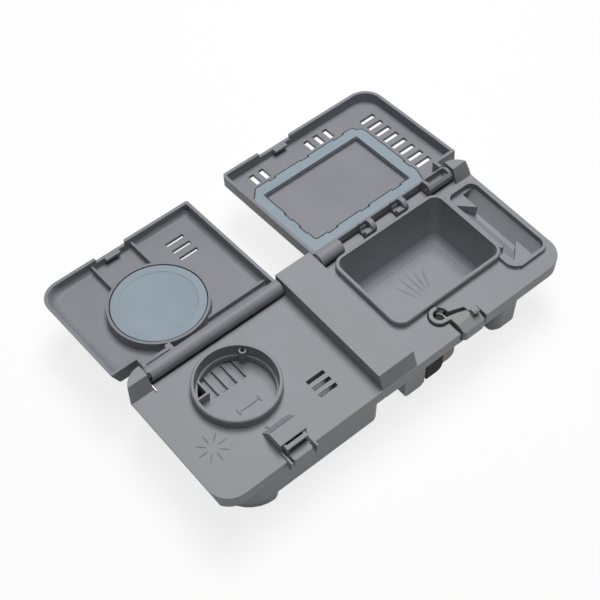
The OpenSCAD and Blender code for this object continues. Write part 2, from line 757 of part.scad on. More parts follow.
// The rinse lid: a tray with a round holder for the seal, ribs, three slots and a long hinge barrel
module rinse_lid() color(lid_grey) on_hinge() difference() {
    union() {
        difference() {
            lid_blank(rinse_x0, rinse_x1, rinse_reach, rinse_corners, rinse_lean);
            difference() {
                rinse_tray();
                layer(floor_w - 1, rim_w + 2) translate([0, -2])
                    square([rinse_cut_x + wall, rinse_cut_u + wall + 2]);
            }
        }
        rod_x(rinse_barrel_x, rinse_x1, 0, 0, barrel_r);
        layer(floor_w - 0.5, seal_rim_w) translate([well_x, rinse_seal_u]) circle(seal_r + 1.6);
        rinse_lid_ribs();
        layer(rim_w - notch_d - lip_t, rim_w - notch_d) translate([latch_mid - 4.8, rinse_lip_u])
            square([9.6, rinse_reach - wall - rinse_lip_u + 0.5]);
    }
    layer(floor_w, seal_rim_w + 1) translate([well_x, rinse_seal_u]) circle(seal_r + 0.1);
    translate([-1, -10, back_w - 1]) cube([rinse_cut_x + 1, rinse_cut_u + 10, lid_h + 2]);
    translate([latch_mid - 10, rinse_reach - wall - 0.5, rim_w - notch_d]) cube([20, wall + 2, notch_d + 1]);
    for (i = [0:2]) {
        translate([slot_x + 0.2, rinse_reach - 28.9 + 6.65 * i, back_w - 1]) cube([12, 2.4, wall + 2]);
    }
    rod_x(0, rinse_x1 + 1, 0, 0, pin_r + run_fit);
    // the recess round the coil of the lid's spring
    rod_x(rinse_barrel_x - 1, rinse_barrel_x + 4.6, 0, 0, spring_r + spring_wire + 0.5);
}

// Ribs inside the rinse lid: two behind the seal, the wall along the barrel, a lug and a long low rib
module rinse_lid_ribs() {
    rib_t = 1.3;
    lug_x = rinse_cut_x + 16.5;
    layer(floor_w - 0.5, 0) for (x = [well_x - 12.6, well_x + 14.2]) {
        translate([x, rinse_seal_u + 20]) square([rib_t, rinse_reach - wall - rinse_seal_u - 19]);
    }
    layer(floor_w - 0.5, -0.9) translate([lug_x, 9.2]) square([rinse_x1 - wall - lug_x + 0.5, 1.4]);
    layer(floor_w - 0.5, rim_w - 0.1) translate([rinse_cut_x + 0.2, barrel_r - 0.2])
        square([lug_x - rinse_cut_x + 1, 1.8]);
    layer(floor_w - 0.5, rim_w - 0.7) translate([lug_x, 1]) square([3.4, 7.2]);
}

// The rinse seal: a soft cup that closes over the filler ring
module rinse_seal() color(seal_blue) on_hinge() translate([well_x, rinse_seal_u, 0]) rotate_extrude() polygon([
    [0, floor_w], [seal_r, floor_w], [seal_r, seal_rim_w - 0.4], [seal_r - 0.4, seal_rim_w],
    [ring_r + 1.6, seal_rim_w], [ring_r + 0.6, floor_w + seal_t + 1], [ring_r + 0.5, floor_w + seal_t], [0, floor_w + seal_t]]);

module rinse_hinge_pin() color(steel) on_front() {
    rod_x(rinse_pin_x, ridge_x + wall + 3, hinge_y, hinge_z, pin_r);
}

// The rinse lid's spring: a coil in the barrel's end, and a leg that rests on the face
module rinse_lid_spring() color(steel) on_front() translate([ear_left_w + 0.6, hinge_y, hinge_z]) {
    rotate([0, 90, 0]) rotate([0, 0, 90]) helix(spring_r, spring_wire, 3.8, 4);
    rotate([0, 90, 0]) rotate([0, 0, 90]) translate([spring_r, 0, 0]) sphere(r = spring_wire, $fn = 8);
    translate([0, 0, -spring_r]) rotate([93, 0, 0]) cylinder(h = 9.6, r = spring_wire, $fn = 16);
}

// The detergent seal's outline, with chamfered far corners and shallow waves along its far and right edges
module gasket_outline() {
    x0 = gasket_x0;
    x1 = gasket_x1;
    u0 = gasket_u0;
    u1 = gasket_u1;
    difference() {
        polygon([[x0, u0 + 1.4], [x0 + 1.4, u0], [x1 - 3, u0], [x1 - 0.8, u0 + 7], [x1, u0 + 9], [x1, u1 - 8],
            [x1 - 1, u1 - 4.6], [x1 - 3.4, u1 - 3.4], [x1 - 4.6, u1 - 0.8], [x1 - 8, u1], [x0 + 7, u1],
            [x0 + 5.6, u1 - 1], [x0 + 2.4, u1 - 4.8], [x0, u1 - 6.4]]);
        for (wave = [[17, 4], [41, 5], [66, 7]]) {
            translate([x0 + wave[0], u1 - 0.9]) square([wave[1], 2]);
        }
        translate([x1 - 0.9, u0 + 14.6]) square([2, 5.4]);
    }
}

module gasket_opening() {
    x0 = gasket_x0 + gasket_b;
    x1 = gasket_x1 - gasket_b - 0.6;
    u0 = gasket_u0 + gasket_b + 0.7;
    u1 = gasket_u1 - gasket_b - 0.6;
    rbox(x0, u0, x1, u1, [2, 1, 1, 1]);
    for (i = [0:2]) {
        translate([x0 + 8.6 + 24 * i, u0 - 1]) square([6, 2]);
    }
    for (i = [0:1]) {
        translate([x0 - 0.8, u0 + 7 + 13.4 * i]) square([2, 6]);
    }
}

module detergent_seal() color(seal_blue) on_hinge() layer(floor_w + frame_h - gasket_t, floor_w + frame_h) difference() {
    gasket_outline();
    gasket_opening();
}

// The detergent lid: a tray with a raised frame for the seal, slots at two sides and four knuckles
module detergent_lid() color(lid_grey) on_hinge() difference() {
    union() {
        difference() {
            lid_blank(deterg_x0, deterg_x1, deterg_reach, deterg_corners, 0);
            layer(floor_w, rim_w + 1) difference() {
                rbox(deterg_x0 + wall, hinge_wall_u + hinge_wall_t, deterg_x1 - wall, deterg_reach - wall, [0, 0, corner_r - wall, 1]);
                translate([deterg_cut_x - wall, -1]) square([30, deterg_cut_u + wall + 1]);
            }
            translate([deterg_x0 - 1, -10, back_w - 1]) cube([deterg_x1, 10 + hinge_wall_u, lid_h + 2]);
            translate([deterg_x0 + wall, 0, hinge_wall_top])
                cube([deterg_x1 - deterg_x0, hinge_wall_u + hinge_wall_t + 0.2, lid_h]);
        }
        layer(floor_w - 0.5, floor_w + frame_h - gasket_t) difference() {
            gasket_outline();
            gasket_opening();
        }
        for (k = knuckles) {
            rod_x(k[0], k[1], 0, 0, barrel_r);
            translate([k[0], 0, -barrel_r]) cube([k[1] - k[0], hinge_wall_u + 1, barrel_r]);
        }
        translate([knuckle_last[0], 0.2 - barrel_r, -0.4])
            cube([knuckle_last[1] - knuckle_last[0], barrel_r + hinge_wall_u + 0.6, hinge_wall_top + 0.4]);
        layer(rim_w - notch_d - lip_t, rim_w - notch_d) translate([nose_x - 4.4, deterg_lip_u])
            square([9, deterg_reach - wall - deterg_lip_u + 0.5]);
    }
    translate([deterg_cut_x, -10, back_w - 1]) cube([30, deterg_cut_u + 10, lid_h + 2]);
    translate([pad_x0 - 4, deterg_reach - wall - 0.5, rim_w - notch_d]) cube([23.6, wall + 2, notch_d + 1]);
    deterg_slots();
    for (i = [1:2]) {
        knuckle_mouth(knuckles[i]);
    }
    knuckle_pocket();
    rod_x(deterg_x0 - 1, ear_x1 + 1, 0, 0, pin_r + press_fit);
}

// The open pocket in the last knuckle, whose right wall holds the pin
module knuckle_pocket() {
    t = 1.8;
    translate([knuckle_last[0] + t, t - barrel_r, -1.4])
        cube([knuckle_last[1] - knuckle_last[0] - 2 * t, barrel_r - t + hinge_wall_u, 10]);
}

// The open mouth of a hooked knuckle
module knuckle_mouth(k) {
    translate([k[0] - 1, -barrel_r - 1, 1]) cube([k[1] - k[0] - 2, barrel_r + 3, 8]);
}

module deterg_slots() {
    pitch = 7;
    u0 = deterg_cut_u + 9.4;
    for (i = [0:floor((deterg_reach - 14 - u0) / pitch)]) {
        translate([deterg_x1 - 20, u0 + pitch * i, back_w - 1]) cube([10.6, 3.3, wall + 2]);
    }
    far_slots = concat([for (i = [0:1]) deterg_x0 + 14.3 + pitch * i],
        [for (i = [0:2]) deterg_x1 - 56.5 + (pitch + 0.2) * i]);
    for (x = far_slots) {
        translate([x, deterg_reach - 14.6, back_w - 1]) cube([3.5, 8.4, wall + 2]);
    }
}

// The detergent lid's two pins, each pressed into an end knuckle
module detergent_hinge_pins() color(steel) on_front() {
    rod_x(coil_x - 1.2, knuckle_first[1] - 2, hinge_y, hinge_z, pin_r);
    rod_x(knuckle_last[1] - 2.3, deterg_pin_x, hinge_y, hinge_z, pin_r);
}

// The detergent lid's spring: a coil round the left pin, with a leg up the inside of the ridge
module detergent_lid_spring() color(steel) on_front() translate([coil_x, hinge_y, hinge_z]) {
    rotate([0, 90, 0]) rotate([0, 0, 90]) helix(spring_r, spring_wire, coil_l, 4);
    translate([0, -spring_r, 0]) cylinder(h = ridge_h - wall - hinge_z - 0.2, r = spring_wire, $fn = 16);
}

// The rinse latch: a push pad at the front edge, cheeks at its sides and a bar that holds the lid's lip
module rinse_latch() color(grey) on_front() {
    cheek_t = 1.4;
    cheek_out = latch_half + 0.6;
    bar_top = catch_z + bar_t;
    difference() {
        layer(-6, 0.6) rbox(latch_mid - latch_half, -pad_reach, latch_mid + latch_half, 4.6, [1.6, 1.6, 0, 0]);
        translate([latch_mid - latch_half + 1.6, -pad_reach + 1.6, -7]) cube([2 * latch_half - 3.2, 10, 6]);
    }
    for (x = [latch_mid - cheek_out, latch_mid + cheek_out - cheek_t]) {
        translate([x, bar_y - 1, -6]) cube([cheek_t, 7, 6]);
        translate([x, bar_y, -6]) cube([cheek_t, bar_d + 1, bar_top + 6]);
    }
    translate([latch_mid - cheek_out, bar_y, catch_z]) cube([2 * cheek_out, bar_d, bar_t]);
    translate([latch_mid - cheek_out, 7.4, -6]) cube([2 * cheek_out, 1.4, 5]);
    rod_y(8.6, 11, latch_mid, -3.5, 1);
}

module rinse_latch_spring() color(steel) on_front() translate([latch_mid, 11.8, -3.5]) rotate([-90, 0, 0])
    helix(1.6, 0.3, 4, 4);

// The detergent latch: a hook round the stud, an arm, a push pad with a nose, and a tail to the drive
module detergent_latch() color(pad_grey) on_front() difference() {
    union() {
        layer(-1.6, 2.2) difference() {
            union() {
                translate([pivot_x, pivot_y]) circle(hook_out_r);
                polygon([[pivot_x - 1, pivot_y - hook_out_r + 0.1], [pad_x0, 9.4], [pad_x0, 4], [pad_x1, 4],
                    [pad_x1, 5.6], [nose_x + 0.6, 5.6], [nose_x - 0.2, 8.6], [pivot_x + 2, pivot_y - 2.8]]);
            }
            translate([pivot_x, pivot_y]) circle(hook_in_r);
            translate([pivot_x, pivot_y - 2.9]) rotate(-15) square([20, 20]);
        }
        latch_pad();
        layer(-5, -2.6) {
            translate([pivot_x, pivot_y]) circle(4.6);
            polygon([[pivot_x, pivot_y - 4.6], [pad_x0 + 6, 2], [pad_x0 + 10, 2], [pad_x0 + 10, 8],
                [pivot_x, pivot_y + 2]]);
            polygon([[pivot_x - 1, pivot_y - 3.5], [finger_x - 2.6, finger_y - 2.2], [finger_x - 2.6, finger_y + 2],
                [pivot_x - 1, pivot_y + 4]]);
        }
        layer(-3, -1) polygon([[pad_x0, 4], [pad_x0 + 8, 4], [pad_x0 + 8, 8.6], [pad_x0, 10]]);
        bar_x(nose_x, nose_x + 4) polygon([[nose_y + 1.4, 0.3], [nose_y + 1.4, catch_z], [nose_y, catch_z + 0.1],
            [nose_y, catch_z + 0.4], [nose_y + 1.2, catch_z + 0.9], [nose_y + 3.6, catch_z + 0.9],
            [nose_y + 3.6, 0.3]]);
    }
    translate([pivot_x, pivot_y, -8]) cylinder(h = 8, r = stud_r + run_fit);
    layer(-8, 0) rbox(finger_x - 1.6, finger_y - 1.3, finger_x + 1.6, finger_y + 1.3, [1, 1, 1, 1]);
}

// The push pad, with rounded front corners
module latch_pad() {
    intersection() {
        bar_x(pad_x0, pad_x1) polygon([[-pad_reach, -6], [-pad_reach, -0.6], [-1.2, 0.4], [4.2, 2.2], [4.2, -6]]);
        layer(-7, 3) rbox(pad_x0, -pad_reach, pad_x1, 5, [2, 2, 0, 0]);
    }
}

module latch_clip() color(black) on_front() translate([pivot_x, pivot_y, -2.4]) difference() {
    cylinder(h = 0.6, r = 3);
    translate([0, 0, -1]) cylinder(h = 3, r = stud_r + press_fit);
}

// The actuator's case, a block with a bore for the plunger and a seat for its spring
module actuator_case() color(black) on_front() difference() {
    translate([0, case_y1, 0]) rotate([90, 0, 0]) linear_extrude(case_y1 - case_y0)
        rbox(case_x0, -case_d, case_x1, case_top, [1.5, 4, 1, 1]);
    rod_y(case_y0 + 3, case_y1 + 1, plunger_x, plunger_z, plunger_r + run_fit);
    rod_y(case_y1 - 5, case_y1 + 1, plunger_x, plunger_z, 3.6);
}

// The wound end of the actuator beside the case
module actuator_coil() color(copper) on_front()
    translate([0, case_y1, 0]) rotate([90, 0, 0]) linear_extrude(case_y1 - case_y0 - 0.4)
        rbox(case_x1, -coil_d, coil_x1, case_top, [0, 4, 2.5, 0]);

module actuator_terminals() color(steel) on_front() for (x = [case_x1 + 2, coil_x1 - 2.8]) {
    translate([x, case_y1 - 5, -coil_d - 7.5]) cube([0.8, 4.8, 7.5]);
}

module actuator_plunger() color(steel) on_front() rod_y(case_y0 + 4.6, tongue_y + tongue_t, plunger_x, plunger_z, plunger_r);

module plunger_spring() color(steel) on_front() translate([plunger_x, case_y1 - 4.6, plunger_z]) rotate([-90, 0, 0])
    helix(2.75, 0.35, 5.3, 5);

// The drive slide: a tongue on the plunger with a finger in the latch's tail, and an arm to the dosing chamber
module drive_slide() color(white) on_front() difference() {
    union() {
        layer(plunger_z - 3.2, -6.9) translate([plunger_x - 3.2, tongue_y]) square([6.4, tongue_t]);
        layer(-9.1, -6.9) translate([dose_x0 + 4, tongue_y]) square([finger_x + 1.6 - dose_x0 - 4, tongue_t]);
        layer(-24, -6.9) translate([dose_x0 + 4, tongue_y]) square([5, tongue_t]);
        translate([finger_x, finger_y, -8]) cylinder(h = 5.8, r = 0.8);
    }
    rod_y(tongue_y - 1, tongue_y + 5, plunger_x, plunger_z, plunger_r + press_fit);
}

front_housing();
tank_cover();
rear_cover();
cover_screws();
rinse_lid();
rinse_seal();
rinse_hinge_pin();
rinse_lid_spring();
detergent_lid();
detergent_seal();
detergent_hinge_pins();
detergent_lid_spring();
rinse_latch();
rinse_latch_spring();
detergent_latch();
latch_clip();
actuator_case();
actuator_coil();
actuator_terminals();
actuator_plunger();
plunger_spring();
drive_slide();
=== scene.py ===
import json
import math
import bpy
import numpy as np
from mathutils import Matrix, Vector


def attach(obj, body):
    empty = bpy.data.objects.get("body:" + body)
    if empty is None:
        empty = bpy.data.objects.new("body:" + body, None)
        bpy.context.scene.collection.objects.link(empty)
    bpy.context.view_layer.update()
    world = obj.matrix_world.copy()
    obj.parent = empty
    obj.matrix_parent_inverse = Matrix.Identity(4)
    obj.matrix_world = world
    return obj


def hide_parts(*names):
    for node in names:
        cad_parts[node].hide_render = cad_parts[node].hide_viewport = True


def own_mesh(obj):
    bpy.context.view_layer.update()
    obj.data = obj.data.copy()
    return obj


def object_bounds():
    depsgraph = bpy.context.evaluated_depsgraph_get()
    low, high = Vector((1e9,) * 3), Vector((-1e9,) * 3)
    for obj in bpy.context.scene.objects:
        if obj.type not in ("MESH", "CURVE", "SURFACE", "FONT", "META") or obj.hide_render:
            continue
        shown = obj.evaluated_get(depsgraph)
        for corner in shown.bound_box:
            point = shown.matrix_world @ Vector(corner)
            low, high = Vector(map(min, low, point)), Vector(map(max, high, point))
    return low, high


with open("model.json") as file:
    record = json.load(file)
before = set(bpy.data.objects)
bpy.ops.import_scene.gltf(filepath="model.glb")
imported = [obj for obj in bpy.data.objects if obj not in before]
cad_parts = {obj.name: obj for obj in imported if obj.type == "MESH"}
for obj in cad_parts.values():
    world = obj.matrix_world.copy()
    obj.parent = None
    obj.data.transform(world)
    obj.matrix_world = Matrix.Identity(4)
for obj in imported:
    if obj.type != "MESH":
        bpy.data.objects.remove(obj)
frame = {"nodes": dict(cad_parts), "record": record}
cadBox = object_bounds()
print("frame loaded:", len(frame["nodes"]), "nodes")

mm = 0.001
# the left end of the latch edge, at the face; places below are in millimetres from there
frontCorner = np.array([-0.1205, -0.044, 0.0085])


def linear(hexColour):
    # sRGB hex to the linear colour that Blender's sockets take
    parts = [int(hexColour[i:i + 2], 16) / 255 for i in (1, 3, 5)]
    return tuple(p / 12.92 if p <= 0.04045 else ((p + 0.055) / 1.055) ** 2.4 for p in parts) + (1.0,)


def addNode(tree, kind, links=None, **settings):
    # one node with its settings; a key that starts with "in_" sets an input socket
    node = tree.nodes.new(kind)
    for key, value in settings.items():
        if key.startswith("in_"):
            name = key[3:].replace("_", " ")
            node.inputs[int(name) if name.isdigit() else name].default_value = value
        else:
            setattr(node, key, value)
    for socket, source in (links or {}).items():
        tree.links.new(source, node.inputs[socket])
    return node


def newMaterial(name):
    material = bpy.data.materials.new(name)
    material.use_nodes = True
    material.node_tree.nodes.clear()
    return material, material.node_tree


def closeMaterial(tree, shader):
    output = addNode(tree, "ShaderNodeOutputMaterial")
    tree.links.new(shader.outputs[0], output.inputs["Surface"])


# finishes, each from what the real piece is made of; their sizes are in millimetres

softEdge = {"radius": 0.4, "samples": 6}  # the mould's edges are rounded by about this much


def twoTone(tree, factor, dark, colour, span):
    # a soft drift between two close shades, driven by a pattern over this span of its values
    ramp = addNode(tree, "ShaderNodeValToRGB", {"Fac": factor})
    for element, position, shade in zip(ramp.color_ramp.elements, span, (dark, colour)):
        element.position = position
        element.color = linear(shade)
    return ramp.outputs["Color"]


def grainedSurface(tree, grain, strength, depth):
    # the normal of a moulded skin: rounded edges with a fine grain over them
    edge = addNode(tree, "ShaderNodeBevel", in_Radius=softEdge["radius"] * mm, samples=softEdge["samples"])
    bump = addNode(tree, "ShaderNodeBump", {"Height": grain.outputs["Fac"], "Normal": edge.outputs["Normal"]},
                   in_Strength=strength, in_Distance=depth * mm)
    return bump.outputs["Normal"]


mouldedPlastic = {
    "housing": {"colour": "#999ca1", "dark": "#93969b", "roughness": 0.46, "grain": 0.35, "gloss": 0.3},
    "lid": {"colour": "#93959b", "dark": "#8d8f95", "roughness": 0.44, "grain": 0.35, "gloss": 0.3},
    "latch": {"colour": "#959b9c", "dark": "#8f9596", "roughness": 0.42, "grain": 0.35, "gloss": 0.3},
    "drive": {"colour": "#dcdcd6", "dark": "#d2d2cb", "roughness": 0.5, "grain": 0.35, "gloss": 0.3},
    "black": {"colour": "#151515", "dark": "#0f0f0f", "roughness": 0.55, "grain": 0.4, "gloss": 0.08},
}
mouldedSkin = {"flow": 22.2, "flowDetail": 4.0, "flowRoughness": 0.6, "span": (0.35, 0.65), "grainDetail": 2.0,
               "smoother": 0.05, "rougher": 0.06, "strength": 0.12, "depth": 0.06, "ior": 1.49}


def makeMoulded(name, colour, dark, roughness, grain, gloss):
    # polypropylene from a spark-eroded mould: satin, with a fine even grain and soft flow marks
    skin = mouldedSkin
    material, tree = newMaterial(name)
    place = addNode(tree, "ShaderNodeTexCoord").outputs["Object"]
    flow = addNode(tree, "ShaderNodeTexNoise", {"Vector": place}, in_Scale=1 / (skin["flow"] * mm),
                   in_Detail=skin["flowDetail"], in_Roughness=skin["flowRoughness"])
    # the real grain is about 0.1 mm; it is drawn at 0.35 mm so that it shows
    speck = addNode(tree, "ShaderNodeTexNoise", {"Vector": place}, in_Scale=1 / (grain * mm),
                    in_Detail=skin["grainDetail"])
    rough = addNode(tree, "ShaderNodeMapRange", {"Value": flow.outputs["Fac"]},
                    in_To_Min=roughness - skin["smoother"], in_To_Max=roughness + skin["rougher"])
    shader = addNode(tree, "ShaderNodeBsdfPrincipled", {
        "Base Color": twoTone(tree, flow.outputs["Fac"], dark, colour, skin["span"]),
        "Roughness": rough.outputs["Result"],
        "Normal": grainedSurface(tree, speck, skin["strength"], skin["depth"])})
    shader.inputs["IOR"].default_value = skin["ior"]
    shader.inputs["Specular IOR Level"].default_value = gloss  # the grain takes much of the gloss away
    closeMaterial(tree, shader)
    return material


silicone = {
    "seal": {"colour": "#9fadb7", "dark": "#99a7b1", "roughness": 0.62},
    # the colour below is painted shade: the dark of the groove beside the detergent seal
    "seam": {"colour": "#3a3f45", "dark": "#34393f", "roughness": 0.7},
}
siliconeSkin = {"bloom": 16.7, "bloomDetail": 3.0, "span": (0.3, 0.7), "grain": 1 / 3, "grainDetail": 1.0,
                "strength": 0.1, "depth": 0.05, "ior": 1.41}


def makeRubber(name, colour, dark, roughness):
    # moulded silicone: soft and matt, with a faint bloom; with the seam colour it gives the painted groove shade
    skin = siliconeSkin
    material, tree = newMaterial(name)
    place = addNode(tree, "ShaderNodeTexCoord").outputs["Object"]
    bloom = addNode(tree, "ShaderNodeTexNoise", {"Vector": place}, in_Scale=1 / (skin["bloom"] * mm),
                    in_Detail=skin["bloomDetail"])
    # its skin is nearly smooth; the grain is drawn at a third of a millimetre so that it shows
    speck = addNode(tree, "ShaderNodeTexNoise", {"Vector": place}, in_Scale=1 / (skin["grain"] * mm),
                    in_Detail=skin["grainDetail"])
    shader = addNode(tree, "ShaderNodeBsdfPrincipled", {
        "Base Color": twoTone(tree, bloom.outputs["Fac"], dark, colour, skin["span"]),
        "Normal": grainedSurface(tree, speck, skin["strength"], skin["depth"])})
    shader.inputs["Roughness"].default_value = roughness
    shader.inputs["IOR"].default_value = skin["ior"]
    closeMaterial(tree, shader)
    return material


# the stretch draws the marks out along X, the way the hinge pins and the lids' spring wires lie
steels = {
    "drawn": {"colour": "#c9c8c4", "roughness": 0.25, "stretch": (0.1, 1.0, 1.0)},
    "zinc": {"colour": "#bdbdb8", "roughness": 0.36, "stretch": (1.0, 1.0, 1.0)},
    # this dark grey is blackened steel's colour, and on the latch's stud cap it also stands in for the shade inside
    # the latch's slot
    "blackenedAndSlotShade": {"colour": "#2e2f31", "roughness": 0.6, "stretch": (1.0, 1.0, 1.0)},
}
steelSkin = {"marks": 1.11, "marksDetail": 3.0, "smoother": 0.06, "rougher": 0.08}


def makeMetal(name, colour, roughness, stretch):
    # drawn or plated steel: bright, with fine marks, shown larger than they are so that they can be seen
    skin = steelSkin
    material, tree = newMaterial(name)
    place = addNode(tree, "ShaderNodeTexCoord").outputs["Object"]
    along = addNode(tree, "ShaderNodeMapping", {"Vector": place}, in_Scale=stretch)
    marks = addNode(tree, "ShaderNodeTexNoise", {"Vector": along.outputs["Vector"]},
                    in_Scale=1 / (skin["marks"] * mm), in_Detail=skin["marksDetail"])
    rough = addNode(tree, "ShaderNodeMapRange", {"Value": marks.outputs["Fac"]},
                    in_To_Min=roughness - skin["smoother"], in_To_Max=roughness + skin["rougher"])
    shader = addNode(tree, "ShaderNodeBsdfPrincipled", {"Roughness": rough.outputs["Result"]})
    shader.inputs["Base Color"].default_value = linear(colour)
    shader.inputs["Metallic"].default_value = 1.0
    closeMaterial(tree, shader)
    return material


# its dark is painted shade in the valleys between the turns
coilWire = {"colour": "#6d4526", "dark": "#33261b", "span": (0.0, 1.0), "turn": 0.98, "waver": 0.3, "strength": 0.5,
            "depth": 0.1, "roughness": 0.35}


def makeCoil(name, colour, dark, span, turn, waver, strength, depth, roughness):
    # enamelled copper wire under a lacquered tape: fine turns, brown and slightly glossy. The wire is about
    # 0.1 mm thick and its turns are drawn at 1 mm; the wave's own bands lie 2 pi / 20 apart.
    material, tree = newMaterial(name)
    place = addNode(tree, "ShaderNodeTexCoord").outputs["Object"]
    turns = addNode(tree, "ShaderNodeTexWave", {"Vector": place}, bands_direction="X",
                    in_Scale=math.pi / 10 / (turn * mm), in_Distortion=waver)
    bump = addNode(tree, "ShaderNodeBump", {"Height": turns.outputs["Fac"]}, in_Strength=strength,
                   in_Distance=depth * mm)
    # the colour runs with the turns' height: the valleys between the wires are darker, painted shade
    shader = addNode(tree, "ShaderNodeBsdfPrincipled", {
        "Base Color": twoTone(tree, turns.outputs["Fac"], dark, colour, span), "Normal": bump.outputs["Normal"]})
    shader.inputs["Roughness"].default_value = roughness
    closeMaterial(tree, shader)
    return material


finishes = {
    "housing_plastic": makeMoulded("satinGreyHousing", **mouldedPlastic["housing"]),
    "lid_plastic": makeMoulded("satinGreyLid", **mouldedPlastic["lid"]),
    "latch_plastic": makeMoulded("satinGreyLatch", **mouldedPlastic["latch"]),
    "drive_plastic": makeMoulded("naturalDrive", **mouldedPlastic["drive"]),
    "black_plastic": makeMoulded("blackCase", **mouldedPlastic["black"]),
    "seal_rubber": makeRubber("blueGreySilicone", **silicone["seal"]),
    "steel": makeMetal("drawnSpringSteel", **steels["drawn"]),
    "zinc": makeMetal("zincPlatedSteel", **steels["zinc"]),
    "blackened_steel": makeMetal("blackenedSteelAndSlotShade", **steels["blackenedAndSlotShade"]),
    "coil_tape": makeCoil("enamelledCopper", **coilWire),
    # painted shade for the strips round the detergent seal
    "seam_shadow": makeRubber("paintedSeamShade", **silicone["seam"]),
}

for row in frame["record"]["subparts"]:
    node = frame["nodes"][row["node"]]
    node.data.materials.clear()
    node.data.materials.append(finishes[row["material_slot"]])
print("finishes set:", len(finishes))

# how a shape becomes a piece

hingeLine = (84.0, 3.2)  # Y and Z of the lids' hinge line on the front
lidTilt = math.radians(5)  # the open lids hang down by this much


def onFrontAll(points):
    return frontCorner + points * mm


def onLidAll(points):
    # a lid's own places: X, the distance from the hinge line, and the height along the lid's normal
    x, u, w = points[..., 0], points[..., 1], points[..., 2]
    return onFrontAll(np.stack([x, hingeLine[0] + u * math.cos(lidTilt) + w * math.sin(lidTilt),
                                hingeLine[1] - u * math.sin(lidTilt) + w * math.cos(lidTilt)], -1))


def addMesh(name, points, faces, material):
    # a mesh object at the origin from whole arrays of points and faces
    mesh = bpy.data.meshes.new(name)
    mesh.from_pydata([tuple(p) for p in points], [], [tuple(f) for f in faces])
    mesh.update()
    thing = bpy.data.objects.new(name, mesh)
    bpy.context.scene.collection.objects.link(thing)
    mesh.materials.append(material)
    return thing


def gridBody(name, grid, material, ring, sharp):
    # a closed body from a grid of points (i, j, xyz). j runs round a closed section. i runs along the path,
    # which closes on itself where ring is true and otherwise gets a flat cap at each end.
    rows, cols = grid.shape[:2]
    i, j = np.meshgrid(np.arange(rows if ring else rows - 1), np.arange(cols), indexing="ij")
    nextRow, nextCol = (i + 1) % rows, (j + 1) % cols
    quads = np.stack([i * cols + j, nextRow * cols + j, nextRow * cols + nextCol, i * cols + nextCol], -1)
    quads = quads.reshape(-1, 4)
    points = grid.reshape(-1, 3)
    # the signed volume tells whether the faces point outwards
    middle = points.mean(0)
    a, b, c, d = (points[quads[:, k]] - middle for k in range(4))
    volume = (np.einsum("ij,ij->i", a, np.cross(b, c)) + np.einsum("ij,ij->i", a, np.cross(c, d))).sum()
    faces = quads.tolist()
    if not ring:
        faces += [list(range(cols))[::-1], list(range((rows - 1) * cols, rows * cols))]
        ends = [points[:cols] - middle, points[-cols:] - middle]
        for turn, end in zip((-1, 1), ends):
            fan = np.cross(end[1:-1], end[2:])
            volume += turn * (fan @ end[0]).sum()
    if volume < 0:
        faces = [face[::-1] for face in faces]
    thing = addMesh(name, points, faces, material)
    thing.data.shade_smooth()
    thing.data.set_sharp_from_angle(angle=math.radians(sharp))
    return thing


def addPiece(name, grid, body, slot, ring=False, sharp=30, finish=None, replaces=None):
    # a piece that rides on a body and has that slot's finish, unless it has one of its own
    piece = gridBody(name, grid, finishes[finish or slot], ring, sharp)
    if replaces:
        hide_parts(replaces)
    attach(piece, body)
    return piece


def insetDirections(outline, closed):
    # for each point of a flat outline, the step to its left that moves both its edges in by one
    edges = np.roll(outline, -1, 0) - outline
    left = np.stack([-edges[:, 1], edges[:, 0]], -1) / np.linalg.norm(edges, axis=1)[:, None]
    before = np.roll(left, 1, 0)
    if not closed:
        left[-1] = left[-2]
        before[0] = left[0]
    return (left + before) / (1 + (left * before).sum(1))[:, None]


def carried(outline, section, closed, lean, base):
    # a section carried along a flat outline. A section point (inward, height) goes to
    # outline + inward * inset direction + height * lean, at base + height.
    inset = insetDirections(outline, closed)
    flat = outline[:, None, :] + section[None, :, 0, None] * inset[:, None, :] \
        + section[None, :, 1, None] * np.broadcast_to(lean, outline.shape)[:, None, :]
    height = np.broadcast_to(base + section[:, 1], flat.shape[:2])
    return np.concatenate([flat, height[..., None]], -1)


def turned(centre, profile, count):
    # a profile of (radius, height) turned about a vertical axis through centre
    angle = np.linspace(0, 2 * np.pi, count, endpoint=False)
    radius, height = profile[:, 0, None], profile[:, 1, None]
    return np.stack([centre[0] + radius * np.cos(angle), centre[1] + radius * np.sin(angle),
                     np.broadcast_to(height, (len(profile), count))], -1)


def quarter(centre, radius, start, steps=8):
    # a quarter of a circle, turning left from the angle start, in degrees
    a = np.radians(start + np.linspace(0, 90, steps + 1))
    return np.array(centre) + radius * np.stack([np.cos(a), np.sin(a)], -1)


coveForm = {"steps": 10, "sunk": 0.04, "backCorner": 0.3}


def coveSection(radius):
    # the hollow quarter circle between a floor and a wall, with its back corner sunk in both
    a = np.linspace(0, np.pi / 2, coveForm["steps"])
    arc = np.stack([radius * (1 - np.sin(a)), radius * (1 - np.cos(a))], -1) - coveForm["sunk"]
    return np.concatenate([arc, [[-coveForm["backCorner"]] * 2]])


# the rounding between the detergent cup's floor and its walls, which lean out by these shares of their height
cupCove = {"x": (140.4, 209.2), "y": (27.0, 70.0), "floor": -26.0, "corner": 5.5, "radius": 4.6,
           "leanX": 3.4 / 30.1, "leanNear": 3.0 / 30.1, "leanFar": 6.6 / 30.1}


